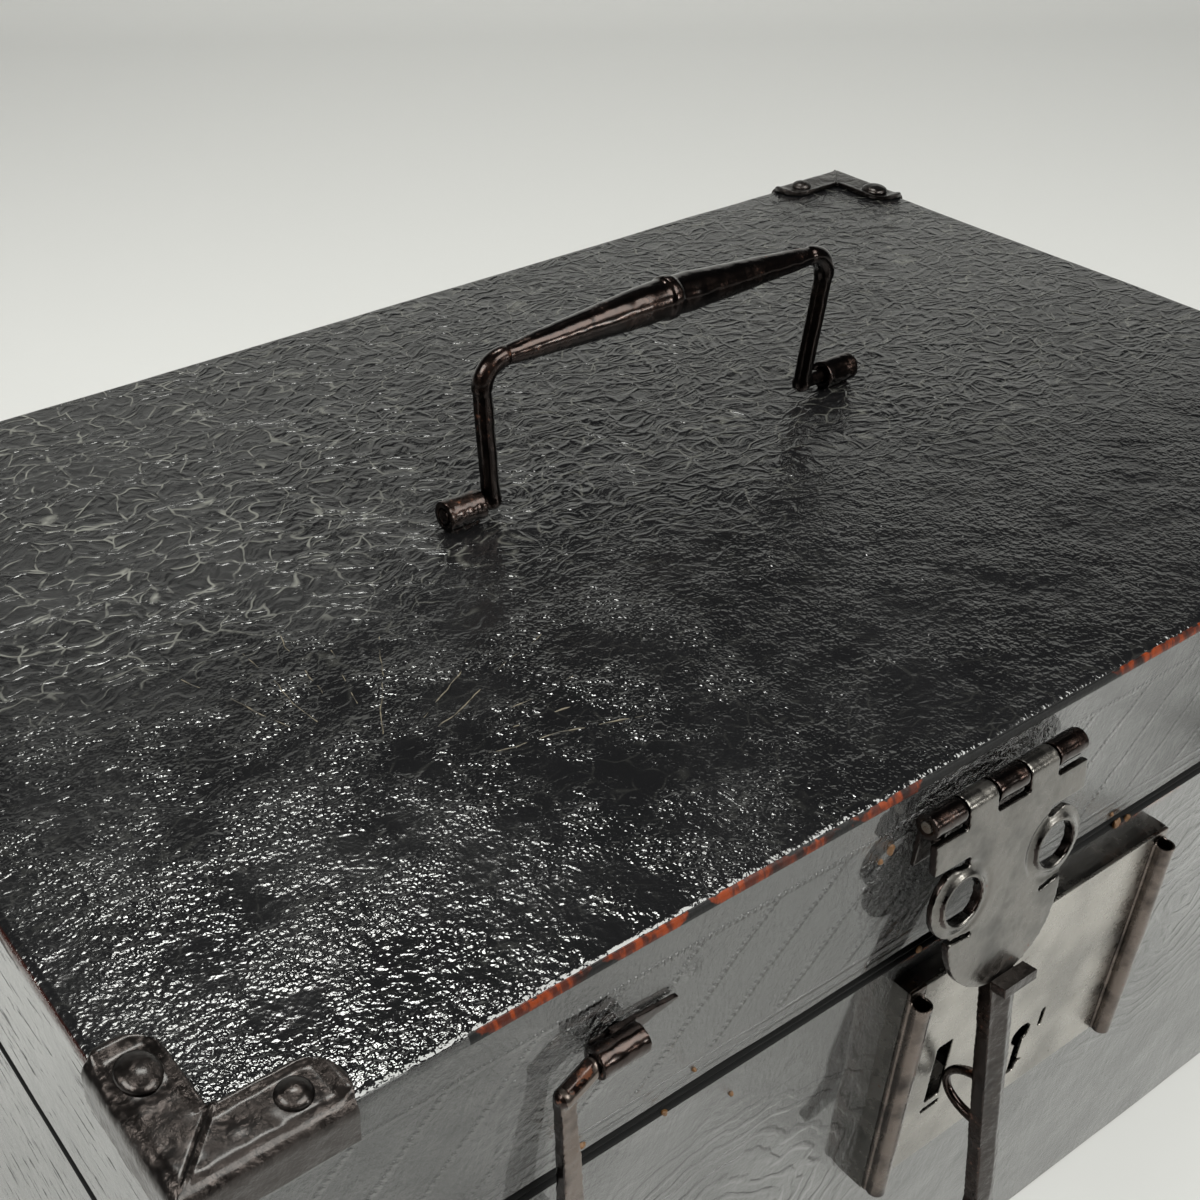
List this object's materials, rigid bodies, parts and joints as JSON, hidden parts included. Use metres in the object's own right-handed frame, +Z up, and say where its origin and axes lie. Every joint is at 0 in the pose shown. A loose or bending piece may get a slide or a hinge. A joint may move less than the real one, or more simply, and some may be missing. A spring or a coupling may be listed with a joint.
{
  "type": "messenger case",
  "caption": "Small lacquered hide-covered travelling box with a hinged lid, iron carrying handle, corner irons, a hanging hasp over a slotted lock and hook latches at the front.",
  "frame": {"origin": "middle of the underside that the case rests on", "axes": "+X to the case's right seen from the front, -Y out of the front with the lock, +Z up"},
  "size_m": [0.4024, 0.2844, 0.2621],
  "materials": {
    "board": "bare light softwood, unvarnished inside",
    "lacquered_hide": "black lacquer over hide, glossy, finely wrinkled and crackled, worn red-brown along the edges",
    "forged_iron": "dark hand-forged wrought iron, semi-gloss with brown rust in the hollows",
    "polished_iron": "polished plain iron, slightly scratched and tarnished"
  },
  "bodies": {
    "body": {"body_floor": "board", "body_front": "board", "body_back": "board", "body_left": "board", "body_right": "board", "body_hide": "lacquered_hide", "inner_lip": "board", "lock_case": "forged_iron", "lock_plate": "polished_iron", "bolt_guides": "forged_iron", "lock_spring": "polished_iron", "lock_nails": "forged_iron", "latch_catches": "forged_iron", "hinge_body_leaves": "forged_iron", "hinge_pins": "polished_iron", "hinge_nails_body": "forged_iron"},
    "lid": {"lid_top": "board", "lid_front": "board", "lid_back": "board", "lid_left": "board", "lid_right": "board", "lid_hide": "lacquered_hide", "corner_front_left": "forged_iron", "corner_front_right": "forged_iron", "corner_back_left": "forged_iron", "corner_back_right": "forged_iron", "corner_nails": "forged_iron", "handle_staple_left": "forged_iron", "handle_staple_right": "forged_iron", "hasp_fixed_leaf": "forged_iron", "hasp_pin": "polished_iron", "hasp_nails": "forged_iron", "latch_staple_left": "forged_iron", "latch_staple_right": "forged_iron", "hinge_lid_leaves": "forged_iron", "hinge_nails_lid": "forged_iron"},
    "handle": {"handle": "forged_iron"},
    "hasp": {"hasp_leaf": "forged_iron", "hasp_bar": "forged_iron", "hasp_loop": "forged_iron"},
    "latch_left": {"latch_left": "forged_iron"},
    "latch_right": {"latch_right": "forged_iron"},
    "bolt": {"lock_bolt": "polished_iron"}
  },
  "joints": [
    {"name": "lid_hinge", "type": "hinge", "parent": "body", "child": "lid", "pos_m": [0, 0.1284, 0.1605], "axis": [-1, 0, 0], "range_deg": [0, 110]},
    {"name": "handle_swing", "type": "hinge", "parent": "lid", "child": "handle", "pos_m": [0.007, 0.005, 0.218], "axis": [1, 0, 0], "range_deg": [-85, 85]},
    {"name": "hasp_swing", "type": "hinge", "parent": "lid", "child": "hasp", "pos_m": [-0.015, -0.1284, 0.2045], "axis": [-1, 0, 0], "range_deg": [-5.4, 160]},
    {"name": "latch_left_swing", "type": "hinge", "parent": "lid", "child": "latch_left", "pos_m": [-0.1285, -0.1285, 0.193], "axis": [-1, 0, 0], "range_deg": [-5.5, 165]},
    {"name": "latch_right_swing", "type": "hinge", "parent": "lid", "child": "latch_right", "pos_m": [0.1285, -0.1285, 0.193], "axis": [-1, 0, 0], "range_deg": [-5.5, 165]},
    {"name": "bolt_slide", "type": "slide", "parent": "body", "child": "bolt", "axis": [-1, 0, 0], "range_m": [0, 0.008]}
  ]
}
